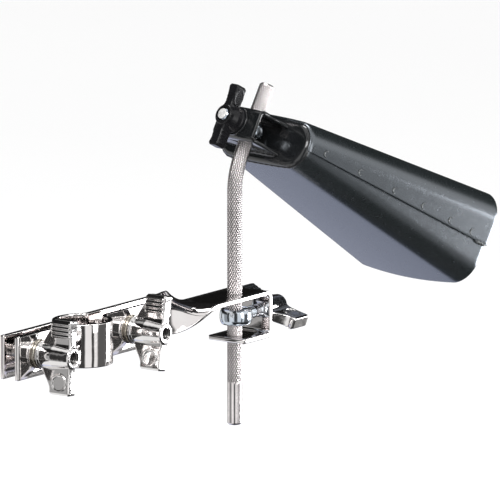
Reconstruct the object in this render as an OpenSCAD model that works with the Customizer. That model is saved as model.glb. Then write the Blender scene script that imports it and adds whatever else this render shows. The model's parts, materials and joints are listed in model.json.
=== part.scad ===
// Cowbell on a bent knurled rod, held by a tube clamp with a twisted strap arm.
// Millimetres, +Z up. The origin is on the stand tube's axis, halfway up the strap.
// +X runs along the arm, away from the tube. The front jaw is on the -Y side.

/* [Tube clamp] */
// Diameter of the clamp's bore for the stand tube
tube_bore_d = 31.8; // [30:0.1:36]
// Height of the steel strip that strap and jaw are bent from
strap_h = 27.5; // [24:0.5:32]
// Thickness of the strip
strap_t = 3; // [2.5:0.1:3.5]
// Distance of each clamp bolt from the tube's axis
bolt_x = 48; // [45:0.5:54]
// Distance from the tube's axis to the left ends of strap and jaw
left_end = 70.5; // [67:0.5:80]

/* [Rod bracket] */
// Distance from the tube's axis to the rod's lower leg
rod_x = 172.8; // [165:0.1:180]
// Outer height of the C shaped rod bracket
bracket_h = 30; // [28:0.5:36]

/* [Rod] */
// Rod diameter
rod_d = 9.525; // [8:0.001:9.6]
// Height of the bend's corner above the strap's middle
corner_z = 77.9; // [70:0.1:90]
// Depth of the rod's lower end below the strap's middle
rod_drop = 82.4; // [70:0.1:100]
// Angle between the two legs
rod_bend = 28.7; // [20:0.1:35]
// Turn of the rod about its lower leg
rod_yaw = -9.9; // [-30:0.1:30]

/* [Bell] */
// Length of the bell from crown to mouth
bell_l = 162.6; // [140:0.2:180]
// Width across the mouth
mouth_w = 110.6; // [100:0.2:120]
// Height of the mouth's sides
mouth_h = 58.8; // [54:0.2:70]
// Bow of the mouth's wide faces at their middle
mouth_bow = 4.2; // [0:0.1:5]
// Width across the crown
crown_w = 79.4; // [70:0.2:84]
// Height of the crown's ends
crown_h = 30.2; // [30:0.2:38]
// Bow of the crown's long edges at their middle
crown_bow = 1.4; // [0:0.1:2.5]
// Sheet thickness of the two shells
sheet = 1.4; // [1.2:0.1:1.6]

/* [Wing nuts] */
// Span of a wing nut from tip to tip
wing_span = 47; // [42:1:50]
// Height of a metal wing nut
nut_h = 24.5; // [22:0.5:26]

/* [Hidden] */
$fn = 64;
tube_r = tube_bore_d / 2;
rod_r = rod_d / 2;
thread_r = 3.9;
nut_bore_r = 3.97;
bolt_hole_r = 4.15;
washer_r = 9.4;
washer_t = 1.6;
rod_hole_r = rod_r + 0.0875;

// Back strap: flats behind the tube, with a bulge round it
back_in = 8;
back_mid = back_in + strap_t / 2;
corner_r = 6;
back_corner_y = back_in + strap_t + corner_r;
back_corner_x = sqrt(pow(tube_r + strap_t + corner_r, 2) - pow(back_corner_y, 2));
twist_start = 90;
twist_end = 138;

// Front jaw: flats level with the tube's axis, with a band round the front
jaw_right = 62;
jaw_corner_y = strap_t + corner_r;
jaw_corner_x = sqrt(pow(tube_r + strap_t + corner_r, 2) - pow(jaw_corner_y, 2));

// C shaped rod bracket at the strap's far end
arm_end = rod_x + 21.5;
arm_mid_z = strap_t / 2 - bracket_h / 2;
lip_start = rod_x - 9.3;
arm_bend_r = 5;
strap_hole_w = 8;

// Rod
rod_bend_r = 50;
bend_tangent = rod_bend_r * tan(rod_bend / 2);
upper_leg = 59.5;
rod_chamfer = 1.2;
core = 0.5;
seam_gap = 0.003;

// Eye bolts
rod_eye_r = 6.35;
rod_eye_wall = 4;
rod_eye_h = 10;
rod_eye_shift = rod_eye_r - rod_r - 0.03;
bell_eye_r = 5.6;
bell_eye_wall = 3.4;
bell_eye_h = 9;
bell_eye_shift = bell_eye_r - rod_r - 0.03;

// Bell, in a frame whose origin is where the bell's bolt crosses the rod
bell_up_rod = 29.1;
bell_drop = 0.9;
crown_x = 13.4;
crown_edge = 3.2;
mouth_corner_r = 15.3;
seam_z = -3;
lap = 8;
gap = 0.02;
front_x = -14;
plate_t = 2.5;
bracket_half_w = 17.5;
bracket_half_h = 10.6;
bracket_r = 3.5;
weld_marks = [0.10, 0.29, 0.48, 0.64, 0.79, 0.91];
bell_nut_h = 12;
bell_nut_span = 41;
insert_r = 5.2;
insert_l = 8;
steps = 14;
face_steps = 9;

// ---- helpers ----

// Flat length of strip, seen from above
module strip_line(x0, x1, y0) {
    translate([x0, y0])
        square([x1 - x0, strap_t]);
}

// Concave corner between a flat and the band round the tube, seen from above
module corner_web(cx, cy, flat_mid) {
    k = (tube_r + strap_t / 2) / (tube_r + strap_t + corner_r);
    difference() {
        polygon([[cx, flat_mid], [cx, cy], [cx * k, cy * k], [cx * k, flat_mid]]);
        translate([cx, cy])
            circle(r = corner_r + 0.15);
    }
}

// Twisting length of strip: its cross section turns a quarter turn along +X
module twist_strip() {
    sections = 20;
    points = [for (i = [0:sections])
        let (u = i / sections, a = 90 * u * u * (3 - 2 * u))
        for (c = [[-1, -1], [1, -1], [1, 1], [-1, 1]])
        let (t = c[0] * strap_t / 2, h = c[1] * strap_h / 2)
        [twist_start + u * (twist_end - twist_start),
         t * cos(a) + h * sin(a),
         h * cos(a) - t * sin(a)]];
    sides = [for (i = [0:sections - 1]) for (k = [0:3])
        let (n = (k + 1) % 4)
        for (f = [[4 * i + k, 4 * i + 4 + k, 4 * i + n], [4 * i + n, 4 * i + 4 + k, 4 * i + 4 + n]])
        f];
    ends = [[0, 1, 2, 3], [4 * sections + 3, 4 * sections + 2, 4 * sections + 1, 4 * sections]];
    translate([0, back_mid, 0])
        polyhedron(points = points, faces = concat(sides, ends));
}

// Outline that is square at x0 and has both corners rounded at x1
module round_end(x0, x1, z0, z1, r) {
    translate([x0, z0])
        square([x1 - x0 - r, z1 - z0]);
    translate([x0, z0 + r])
        square([x1 - x0, z1 - z0 - 2 * r]);
    for (z = [z0 + r, z1 - r])
        translate([x1 - r, z])
            circle(r = r);
}

// Disc washer along +Z
module washer() {
    difference() {
        cylinder(h = washer_t, r = washer_r);
        translate([0, 0, -1])
            cylinder(h = washer_t + 2, r = bolt_hole_r);
    }
}

// Slot outline with round ends
module slot(length, width) {
    square([width, length - width], center = true);
    for (s = [-1, 1])
        translate([0, s * (length - width) / 2])
            circle(d = width);
}

// Raised outline of the oval panel on a wing
module oval_rim(length, width) {
    difference() {
        slot(length, width);
        slot(length - 1.8, width - 1.8);
    }
}

// Wing nut along +Z: round foot, tapered hub, two flat wings that thicken to their tips
// Half the thickness of a wing at a distance from the nut's axis
function wing_half(y) = 3 + (y - 9) * 0.09;

module wing_nut(height, span, depth, foot_r, hub_r, bore_r) {
    tip = span / 2;
    difference() {
        union() {
            cylinder(h = 2.4, r = foot_r);
            cylinder(h = height, r1 = hub_r, r2 = 6.6);
            translate([0, 0, height - depth])
                linear_extrude(height = depth)
                    for (s = [-1, 1])
                        polygon([[-4.6, 0], [4.6, 0], [wing_half(9), s * 9],
                                 [wing_half(tip - 1.5), s * (tip - 1.5)],
                                 [wing_half(tip) - 1, s * tip], [1 - wing_half(tip), s * tip],
                                 [-wing_half(tip - 1.5), s * (tip - 1.5)], [-wing_half(9), s * 9]]);
            for (s = [-1, 1])
                translate([s * (wing_half(tip - 7.5) - 0.6), s * (tip - 7.5), height - depth / 2])
                    rotate([0, s * 90, 0])
                        linear_extrude(height = 1.5)
                            oval_rim(11, min(depth - 3, 10));
            for (s = [-1, 1])
                for (y = [tip - 10.4:2.6:tip - 2])
                    translate([s * (wing_half(y) - 0.1), -s * y, height - depth / 2])
                        cylinder(h = depth - 2, r = 0.9, center = true, $fn = 24);
        }
        translate([0, 0, -1])
            cylinder(h = height + 2, r = bore_r);
    }
}

// Eye bolt: ring round the Z axis, shank along +X
module eye_bolt(inner, wall, height, length) {
    edge = 1.8;
    rotate_extrude() {
        translate([inner, -height / 2])
            square([wall - edge, height]);
        translate([inner + wall - edge - 0.01, -height / 2 + edge])
            square([edge + 0.01, height - 2 * edge]);
        for (s = [-1, 1])
            intersection() {
                translate([inner + wall - edge, s * (height / 2 - edge)])
                    circle(r = edge);
                translate([inner + wall - edge - 0.01, -height / 2])
                    square([edge + 0.01, height]);
            }
    }
    translate([inner + wall - 1.2, 0, 0])
        rotate([0, 90, 0])
            cylinder(h = length - inner - wall + 0.2, r = thread_r);
    translate([length - 1, 0, 0])
        rotate([0, 90, 0])
            cylinder(h = 1, r1 = thread_r, r2 = thread_r - 0.8);
}

// Carriage bolt along -Y: low round head, square neck, shank
module carriage_bolt() {
    head_r = 8.4;
    head_h = 4;
    dome_r = (head_r * head_r + head_h * head_h) / (2 * head_h);
    neck = strap_hole_w - 0.06;
    tip_y = -20;
    face = back_in + strap_t;
    translate([0, face, 0])
        rotate([-90, 0, 0])
            intersection() {
                cylinder(h = head_h, r = head_r);
                translate([0, 0, head_h - dome_r])
                    sphere(r = dome_r);
            }
    translate([-neck / 2, face - strap_t, -neck / 2])
        cube([neck, strap_t + 0.5, neck]);
    translate([0, face, 0])
        rotate([90, 0, 0])
            cylinder(h = face - tip_y - 1, r = thread_r);
    translate([0, tip_y + 1, 0])
        rotate([90, 0, 0])
            cylinder(h = 1, r1 = thread_r, r2 = thread_r - 0.8);
}

// Frame of the rod's upper leg, with its origin at the bend's corner
module upper_leg_frame() {
    translate([rod_x, back_mid, corner_z])
        rotate([0, rod_bend, rod_yaw])
            children();
}

// Frame of the bell: +X towards the mouth, +Z up the rod
module bell_frame() {
    upper_leg_frame()
        translate([0, 0, bell_up_rod])
            children();
}

// Rounded rectangle whose wide faces are bowed out by the given amount
function bowed_points(w, h, r, bow) =
    [for (q = [0:3]) for (i = [0:steps + face_steps])
        let (a = 90 * q + 90 * min(i, steps) / steps,
             sx = (q == 0 || q == 3) ? 1 : -1,
             sy = (q < 2) ? 1 : -1,
             wide = (q % 2 == 0) ? max(i - steps, 0) / (face_steps + 1) : 0,
             y = (sx * (w / 2 - r)) * (1 - 2 * wide) + r * cos(a),
             z = sy * (h / 2 - r) + r * sin(a))
        if (q % 2 == 0 || i <= steps)
            [y, z * (1 + 2 * bow / h * (1 - pow(2 * y / w, 2)))]];

// Thin slice of the bell's outline, standing across the bell's axis
module slice(along, inset) {
    u = along / bell_l;
    w = crown_w + (mouth_w - crown_w) * u - 2 * inset;
    h = crown_h + (mouth_h - crown_h) * u - 2 * inset;
    r = crown_h / 2 + (mouth_corner_r - crown_h / 2) * u - inset - 0.01;
    translate([crown_x + along, 0, -bell_drop])
        rotate([90, 0, 90])
            linear_extrude(height = 0.02)
                polygon(bowed_points(w, h, r, crown_bow + (mouth_bow - crown_bow) * u));
}

// Solid inside the bell's tapering outline
module taper(from, to, inset) {
    hull() {
        slice(from, inset);
        slice(to, inset);
    }
}

// Slab that keeps the bell's part between two heights
module keep(z0, z1) {
    translate([crown_x - 10, -mouth_w, z0])
        cube([bell_l + 20, 2 * mouth_w, z1 - z0]);
}

// ---- clamp ----

module back_strap() {
    color("Silver")
    difference() {
        union() {
            linear_extrude(height = strap_h, center = true)
                difference() {
                    union() {
                        strip_line(-left_end, -back_in, back_in);
                        strip_line(back_in, twist_start + 0.05, back_in);
                        intersection() {
                            circle(r = tube_r + strap_t);
                            translate([-40, back_in])
                                square([80, 40]);
                        }
                        for (s = [-1, 1])
                            corner_web(s * back_corner_x, back_corner_y, back_mid);
                    }
                    circle(r = tube_r);
                }
            twist_strip();
            translate([twist_end - 0.05, back_mid - strap_h / 2, -strap_t / 2])
                cube([arm_end - 20 - twist_end, strap_h, strap_t]);
            translate([0, back_mid + strap_h / 2, 0])
                rotate([90, 0, 0])
                    linear_extrude(height = strap_h)
                        difference() {
                            round_end(lip_start, arm_end, strap_t / 2 - bracket_h, strap_t / 2, arm_bend_r);
                            round_end(lip_start - 1, arm_end - strap_t, 1.5 * strap_t - bracket_h,
                                      -strap_t / 2, arm_bend_r - strap_t);
                        }
        }
        for (s = [-1, 1])
            translate([s * bolt_x, back_mid, 0])
                cube([strap_hole_w, strap_t + 2, strap_hole_w], center = true);
        translate([rod_x, back_mid, -bracket_h - 2])
            cylinder(h = bracket_h + 6, r = rod_hole_r);
        translate([arm_end - strap_t - 2, back_mid, arm_mid_z])
            rotate([0, 90, 0])
                cylinder(h = strap_t + 4, r = bolt_hole_r);
    }
}

module left_bolt() {
    color("Silver")
    translate([-bolt_x, 0, 0])
        carriage_bolt();
}

module right_bolt() {
    color("Silver")
    translate([bolt_x, 0, 0])
        carriage_bolt();
}

module rod_washer() {
    color("Gray")
    translate([arm_end, back_mid, arm_mid_z])
        rotate([0, 90, 0])
            washer();
}

module front_jaw() {
    color("Silver")
    difference() {
        linear_extrude(height = strap_h, center = true)
            difference() {
                union() {
                    strip_line(-left_end, -strap_t, -strap_t);
                    strip_line(strap_t, jaw_right, -strap_t);
                    intersection() {
                        circle(r = tube_r + strap_t);
                        translate([-40, -40])
                            square([80, 40]);
                    }
                    for (s = [-1, 1])
                        corner_web(s * jaw_corner_x, -jaw_corner_y, -strap_t / 2);
                }
                circle(r = tube_r);
            }
        for (s = [-1, 1])
            translate([s * bolt_x, 1, 0])
                rotate([90, 0, 0])
                    cylinder(h = strap_t + 2, r = bolt_hole_r);
    }
}

module left_washer() {
    color("Gray")
    translate([-bolt_x, -strap_t, 0])
        rotate([90, 0, 0])
            washer();
}

module right_washer() {
    color("Gray")
    translate([bolt_x, -strap_t, 0])
        rotate([90, 0, 0])
            washer();
}

module left_wing_nut() {
    color("LightGray")
    translate([-bolt_x, -strap_t - washer_t, 0])
        rotate([90, 4, 0])
            wing_nut(nut_h, wing_span, 16.5, 8.8, 7.8, nut_bore_r);
}

module right_wing_nut() {
    color("LightGray")
    translate([bolt_x, -strap_t - washer_t, 0])
        rotate([90, 9, 0])
            wing_nut(nut_h, wing_span, 16.5, 8.8, 7.8, nut_bore_r);
}

// ---- rod ----

module rod() {
    color("Silver") {
        translate([rod_x, back_mid, -rod_drop + rod_chamfer])
            cylinder(h = corner_z - bend_tangent + rod_drop - rod_chamfer - seam_gap, r = rod_r);
        translate([rod_x, back_mid, -rod_drop])
            cylinder(h = rod_chamfer, r1 = rod_r - rod_chamfer, r2 = rod_r);
        translate([rod_x, back_mid, corner_z - bend_tangent - 1])
            cylinder(h = 2, r = rod_r - core);
        translate([rod_x, back_mid, corner_z - bend_tangent])
            rotate([0, 0, rod_yaw])
                translate([rod_bend_r, 0, 0])
                    rotate([90, 0, 0])
                        rotate([0, 0, 180 - rod_bend])
                            rotate_extrude(angle = rod_bend)
                                translate([rod_bend_r, 0])
                                    circle(r = rod_r);
        upper_leg_frame() {
            translate([0, 0, bend_tangent - 1])
                cylinder(h = 2, r = rod_r - core);
            translate([0, 0, bend_tangent + seam_gap])
                cylinder(h = upper_leg - bend_tangent - rod_chamfer - seam_gap, r = rod_r);
            translate([0, 0, upper_leg - rod_chamfer])
                cylinder(h = rod_chamfer, r1 = rod_r, r2 = rod_r - rod_chamfer);
        }
    }
}

module rod_eye_bolt() {
    color("SteelBlue")
    translate([rod_x + rod_eye_shift, back_mid, arm_mid_z])
        eye_bolt(rod_eye_r, rod_eye_wall, rod_eye_h, arm_end - rod_x - rod_eye_shift + 16);
}

module rod_wing_nut() {
    color("LightGray")
    translate([arm_end + washer_t, back_mid, arm_mid_z])
        rotate([20, 0, 0])
            rotate([0, 90, 0])
                wing_nut(nut_h, wing_span, 16.5, 8.8, 7.8, nut_bore_r);
}

// ---- bell ----

module upper_shell() {
    color("DimGray")
    bell_frame()
        intersection() {
            difference() {
                taper(1.4, bell_l, 0);
                taper(-2, bell_l + 2, sheet);
            }
            keep(seam_z, mouth_h);
        }
}

module lower_shell() {
    color("Gray")
    bell_frame()
        intersection() {
            difference() {
                taper(crown_edge, bell_l - 0.8, sheet + gap);
                taper(0, bell_l + 2, 2 * sheet + gap);
            }
            keep(-mouth_h, seam_z + lap);
        }
}

module crown_cap() {
    color("Black")
    bell_frame()
        difference() {
            hull()
                for (k = [0:5])
                    slice(crown_edge * (1 - cos(15 * k)) , sheet + gap + crown_edge * (1 - sin(15 * k)));
            hull()
                for (k = [0:6])
                    slice(sheet + (crown_edge - sheet + 0.01) * (1 - cos(15 * k)),
                          2 * sheet + gap + (crown_edge - sheet) * (1 - sin(15 * k)));
        }
}

module crown_weld() {
    color("Black")
    bell_frame()
        intersection() {
            difference() {
                taper(crown_edge - 1.3, crown_edge + 1.3, sheet - 0.35);
                taper(0, crown_edge + 3, sheet + 0.2);
            }
            keep(-mouth_h, seam_z - 1.5);
        }
}

module bell_bracket() {
    out_l = crown_x - front_x - gap;
    color("Black")
    bell_frame()
        difference() {
            union() {
                for (s = [-1, 1])
                    translate([front_x + bracket_r, -bracket_half_w,
                               s * (bracket_half_h - plate_t / 2) - plate_t / 2])
                        cube([out_l - bracket_r, 2 * bracket_half_w, plate_t]);
                translate([front_x, -bracket_half_w, -bracket_half_h + bracket_r])
                    cube([plate_t, 2 * bracket_half_w, 2 * (bracket_half_h - bracket_r)]);
                for (s = [0, 1])
                    translate([front_x + bracket_r, 0, (1 - 2 * s) * (bracket_half_h - bracket_r)])
                        rotate([90, 0, 0])
                            rotate([0, 0, 90 + 90 * s])
                                rotate_extrude(angle = 90)
                                    translate([bracket_r - plate_t, -bracket_half_w])
                                        square([plate_t, 2 * bracket_half_w]);
            }
            translate([0, 0, -bracket_half_h - 1])
                cylinder(h = 2 * bracket_half_h + 2, r = rod_hole_r);
            translate([front_x - 1, 0, 0])
                rotate([0, 90, 0])
                    cylinder(h = plate_t + 2, r = bolt_hole_r);
        }
}

module bracket_welds() {
    color("Black")
    bell_frame()
        for (s = [-1, 1])
            translate([crown_x - 0.6, 0, s * (bracket_half_h - 0.2)])
                rotate([90, 0, 0])
                    cylinder(h = 2 * bracket_half_w - 3, r = 1.5, center = true, $fn = 24);
}

module spot_welds() {
    side_a = atan((mouth_w - crown_w) / 2 / bell_l);
    color("Silver")
    bell_frame()
        for (s = [-1, 1])
            for (u = weld_marks)
                translate([crown_x + bell_l * u, s * (crown_w + (mouth_w - crown_w) * u) / 2, seam_z + 3.4])
                    rotate([s * -90, 0, s * side_a])
                        translate([0, 0, -0.9])
                            cylinder(h = 1.15, r = 2.2, $fn = 24);
}

module seam_beads() {
    side_a = atan((mouth_w - crown_w) / 2 / bell_l);
    color("Silver")
    bell_frame()
        for (s = [-1, 1])
            translate([crown_x + bell_l - 1, s * (mouth_w / 2 - sheet + 0.3), seam_z - 0.1])
                rotate([0, 0, s * side_a])
                    rotate([0, -90, 0])
                        cylinder(h = 9, r = 1.2, $fn = 24);
}

module bell_washer() {
    color("Black")
    bell_frame()
        translate([front_x, 0, 0])
            rotate([0, -90, 0])
                washer();
}

module bell_eye_bolt() {
    color("SteelBlue")
    bell_frame()
        translate([-bell_eye_shift, 0, 0])
            rotate([0, 0, 180])
                eye_bolt(bell_eye_r, bell_eye_wall, bell_eye_h,
                         bell_nut_h + washer_t - front_x - bell_eye_shift + 0.6);
}

module bell_wing_nut() {
    color("Black")
    bell_frame()
        translate([front_x - washer_t, 0, 0])
            rotate([0, -90, 0])
                rotate([0, 0, 90])
                    difference() {
                        wing_nut(bell_nut_h, bell_nut_span, 10, 8.6, 8.2, thread_r + 0.3);
                        translate([0, 0, -1])
                            cylinder(h = insert_l + 1, r = insert_r + gap);
                    }
}

module bell_nut_insert() {
    color("Silver")
    bell_frame()
        translate([front_x - washer_t, 0, 0])
            rotate([0, -90, 0])
                difference() {
                    cylinder(h = insert_l, r = insert_r);
                    translate([0, 0, -1])
                        cylinder(h = insert_l + 2, r = nut_bore_r);
                }
}

back_strap();
left_bolt();
right_bolt();
rod_washer();
front_jaw();
left_washer();
right_washer();
left_wing_nut();
right_wing_nut();
rod();
rod_eye_bolt();
rod_wing_nut();
upper_shell();
lower_shell();
crown_cap();
crown_weld();
bell_bracket();
bracket_welds();
spot_welds();
seam_beads();
bell_washer();
bell_eye_bolt();
bell_wing_nut();
bell_nut_insert();
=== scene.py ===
"""Looks of a cowbell on a knurled rod and tube clamp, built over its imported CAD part. Metres."""
import json
import math

import bmesh
import bpy
import numpy as np
from mathutils import Matrix, Vector


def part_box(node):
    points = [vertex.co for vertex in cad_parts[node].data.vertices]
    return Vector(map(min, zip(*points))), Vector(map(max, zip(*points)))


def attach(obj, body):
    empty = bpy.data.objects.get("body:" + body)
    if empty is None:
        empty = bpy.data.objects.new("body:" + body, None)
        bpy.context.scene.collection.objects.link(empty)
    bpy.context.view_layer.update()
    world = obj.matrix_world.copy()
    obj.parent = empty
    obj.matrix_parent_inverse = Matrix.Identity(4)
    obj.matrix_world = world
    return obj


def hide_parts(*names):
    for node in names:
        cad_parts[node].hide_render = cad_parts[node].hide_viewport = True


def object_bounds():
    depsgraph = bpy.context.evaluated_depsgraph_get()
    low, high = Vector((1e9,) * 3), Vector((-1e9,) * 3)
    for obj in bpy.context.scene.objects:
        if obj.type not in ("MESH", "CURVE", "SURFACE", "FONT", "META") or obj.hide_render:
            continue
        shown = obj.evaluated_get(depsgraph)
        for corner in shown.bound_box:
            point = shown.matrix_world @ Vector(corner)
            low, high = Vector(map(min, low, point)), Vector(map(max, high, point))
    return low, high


MM = 0.001
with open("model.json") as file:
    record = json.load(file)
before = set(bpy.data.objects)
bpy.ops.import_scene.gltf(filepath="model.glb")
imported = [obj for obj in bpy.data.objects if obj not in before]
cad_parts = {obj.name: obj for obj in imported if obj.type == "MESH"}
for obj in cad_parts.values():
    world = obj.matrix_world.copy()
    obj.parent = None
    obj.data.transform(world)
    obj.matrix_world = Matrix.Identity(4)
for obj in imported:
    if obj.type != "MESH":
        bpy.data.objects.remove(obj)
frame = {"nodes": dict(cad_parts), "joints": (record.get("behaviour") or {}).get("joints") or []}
CAD_BOX = [list(map(float, c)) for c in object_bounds()]
JOINTS = {j["name"]: j for j in frame["joints"]}

# ---- sizes of the CAD part, in millimetres, read back from its boxes and joints where they give them ----


def box_mm(node):
    low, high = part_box(node)
    return np.array(low) / MM, np.array(high) / MM


STRAP_LO, STRAP_HI = box_mm("back_strap")
JAW_LO, JAW_HI = box_mm("front_jaw")
ROD_LO, ROD_HI = box_mm("rod")
STRAP_H = JAW_HI[2] - JAW_LO[2]
STRAP_T = 3.0
TUBE_R = -JAW_LO[1] - STRAP_T
LEFT_X, ARM_END, JAW_RIGHT = STRAP_LO[0], STRAP_HI[0], JAW_HI[0]
BACK_MID = 9.5
CORNER_R = 6.0
TWIST = (90.0, 138.0)
ARM_BEND_R = 5.0
BRACKET_H = 30.0
ROD_R = 9.525 / 2
ROD_X = ROD_LO[0] + ROD_R
ROD_LOW = ROD_LO[2]
ROD_BEND_R = 50.0
UPPER_LEG = 59.5
LIP_X = ROD_X - 9.3
BOLT_X = JOINTS["right_wing_turn"]["pos_m"][0] / MM
ARM_MID_Z = JOINTS["rod_wing_turn"]["pos_m"][2] / MM

ORIGIN = np.array(JOINTS["bell_swivel"]["pos_m"]) / MM
UP = np.array(JOINTS["bell_swivel"]["axis"])
AXIS = -np.array(JOINTS["bell_wing_turn"]["axis"])
AXIS /= np.linalg.norm(AXIS)
UP = UP - AXIS * (UP @ AXIS)
UP /= np.linalg.norm(UP)
SIDE = np.cross(UP, AXIS)
BELL_FRAME = np.array([AXIS, SIDE, UP])
BEND_A = math.acos(UP[2])
CORNER = ORIGIN - 29.1 * UP
TANGENT = ROD_BEND_R * math.tan(BEND_A / 2)

BELL_L, CROWN_X, BELL_DROP = 162.6, 13.4, 0.9
CROWN_W, CROWN_H, CROWN_BOW = 79.4, 30.2, 1.4
MOUTH_W, MOUTH_H, MOUTH_BOW, MOUTH_R = 110.6, 58.8, 4.2, 15.3
SHEET, SEAM_Z, LAP, CROWN_EDGE = 1.4, -3.0, 8.0, 3.2
FRONT_X, PLATE_T = -14.0, 2.5
BRACKET_W, BRACKET_Z = 17.5, 10.6
NUT_H, BELL_NUT_H, WASHER_T = 24.5, 12.0, 1.6
THREAD_PITCH, THREAD_R = 1.411, 3.9
WELD_MARKS = (0.10, 0.29, 0.48, 0.64, 0.79, 0.91)


def from_bell(points):
    """Bell frame (towards the mouth, sideways, up the rod) to the row frame."""
    return np.asarray(points, float) @ BELL_FRAME + ORIGIN


# ---- mesh helpers ----


def add_mesh(name, verts, faces, body, material, replaces=(), sharp=40):
    mesh = bpy.data.meshes.new(name)
    mesh.from_pydata([tuple(v) for v in np.asarray(verts, float) * MM], [], faces)
    mesh.validate()
    bm = bmesh.new()
    bm.from_mesh(mesh)
    bmesh.ops.recalc_face_normals(bm, faces=bm.faces)
    bm.to_mesh(mesh)
    bm.free()
    obj = bpy.data.objects.new(name, mesh)
    bpy.context.scene.collection.objects.link(obj)
    finish_mesh(obj, material, sharp)
    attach(obj, body)
    if replaces:
        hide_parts(*replaces)
    return obj


def finish_mesh(obj, material, sharp=40):
    obj.data.materials.clear()
    obj.data.materials.append(material)
    obj.data.shade_smooth()
    obj.data.set_sharp_from_angle(angle=math.radians(sharp))


def bake_modifiers(obj, material, sharp=40):
    """Replaces the mesh of a piece of our own by its evaluated one."""
    graph = bpy.context.evaluated_depsgraph_get()
    mesh = bpy.data.meshes.new_from_object(obj.evaluated_get(graph))
    obj.modifiers.clear()
    obj.data = mesh
    finish_mesh(obj, material, sharp)


def grid_faces(rows, cols, wrap=True, base=0):
    faces = []
    for i in range(rows - 1):
        for j in range(cols if wrap else cols - 1):
            k = (j + 1) % cols
            a, b = base + i * cols, base + (i + 1) * cols
            faces.append((a + j, a + k, b + k, b + j))
    return faces


def tube_mesh(rings):
    """Closed skin over a list of equal rings of points, with flat ends."""
    rings = np.asarray(rings, float)
    rows, cols = rings.shape[:2]
    faces = grid_faces(rows, cols)
    faces.append(tuple(range(cols - 1, -1, -1)))
    faces.append(tuple((rows - 1) * cols + j for j in range(cols)))
    return rings.reshape(-1, 3), faces


def rounded_rect(half_a, half_b, r, per_corner=5, per_side=6):
    """Outline of a rounded rectangle, counter-clockwise."""
    pts = []
    for quarter, (sa, sb) in enumerate([(1, 1), (-1, 1), (-1, -1), (1, -1)]):
        centre = np.array([sa * (half_a - r), sb * (half_b - r)])
        turn = np.radians(90 * quarter + 90 * np.arange(per_corner + 1) / per_corner)
        pts += list(centre + r * np.stack([np.cos(turn), np.sin(turn)], 1))
    outline = []
    for i, p in enumerate(pts):
        outline.append(p)
        if (i + 1) % (per_corner + 1) == 0:
            after = pts[(i + 1) % len(pts)]
            outline += [p + (after - p) * k / per_side for k in range(1, per_side)]
    return np.array(outline)


def sweep_strip(stations, half_h, half_t, edge=0.7, end=0.7):
    """Strip with rounded edges and ends along stations of (position, thickness and width direction)."""
    section = rounded_rect(half_h, half_t, edge, 4, 5)
    rings = []
    count = len(stations)
    steps = [(end, 0.0), (end * 0.62, 0.22 * end), (end * 0.3, 0.6 * end), (0.0, end)]
    pos = [np.array(s[0], float) for s in stations]
    first_dir = (pos[1] - pos[0]) / np.linalg.norm(pos[1] - pos[0])
    last_dir = (pos[-1] - pos[-2]) / np.linalg.norm(pos[-1] - pos[-2])

    def ring(p, nvec, hvec, inset):
        sh = (half_h - inset) / half_h
        st = (half_t - inset) / half_t
        return p + np.outer(section[:, 0] * sh, hvec) + np.outer(section[:, 1] * st, nvec)

    for inset, along in steps:
        rings.append(ring(pos[0] + first_dir * along, stations[0][1], stations[0][2], inset))
    for i in range(1, count - 1):
        rings.append(ring(pos[i], stations[i][1], stations[i][2], 0.0))
    for inset, along in reversed(steps):
        rings.append(ring(pos[-1] - last_dir * along, stations[-1][1], stations[-1][2], inset))
    return tube_mesh(rings)


def drill(obj, material, cutters, sharp=40):
    """Cuts round or square holes: cutters are (centre, direction, length, radius, sides)."""
    tools = []
    for centre, direction, length, radius, sides in cutters:
        bpy.ops.mesh.primitive_cylinder_add(vertices=sides, radius=radius * MM, depth=length * MM)
        tool = bpy.context.active_object
        turn = Vector(direction).to_track_quat("Z", "Y").to_matrix().to_4x4()
        spin = Matrix.Rotation(math.radians(45 if sides == 4 else 0), 4, "Z")
        tool.matrix_world = Matrix.Translation(Vector(centre) * MM) @ turn @ spin
        tools.append(tool)
        cut = obj.modifiers.new("hole", "BOOLEAN")
        cut.operation = "DIFFERENCE"
        cut.solver = "EXACT"
        cut.object = tool
    bpy.context.view_layer.update()
    bake_modifiers(obj, material, sharp)
    for tool in tools:
        bpy.data.objects.remove(tool)


def arc(cx, cy, r, a0, a1, count):
    return [(cx + r * math.cos(math.radians(a0 + (a1 - a0) * i / count)),
             cy + r * math.sin(math.radians(a0 + (a1 - a0) * i / count))) for i in range(count + 1)]


def flat_stations(points):
    """Stations for strip on edge along a path seen from above."""
    pts = np.array(points)
    out = []
    for i, p in enumerate(pts):
        d = pts[min(i + 1, len(pts) - 1)] - pts[max(i - 1, 0)]
        d /= np.linalg.norm(d)
        out.append((np.array([p[0], p[1], 0.0]), np.array([-d[1], d[0], 0.0]), np.array([0.0, 0.0, 1.0])))
    return out


# ---- materials ----


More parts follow.
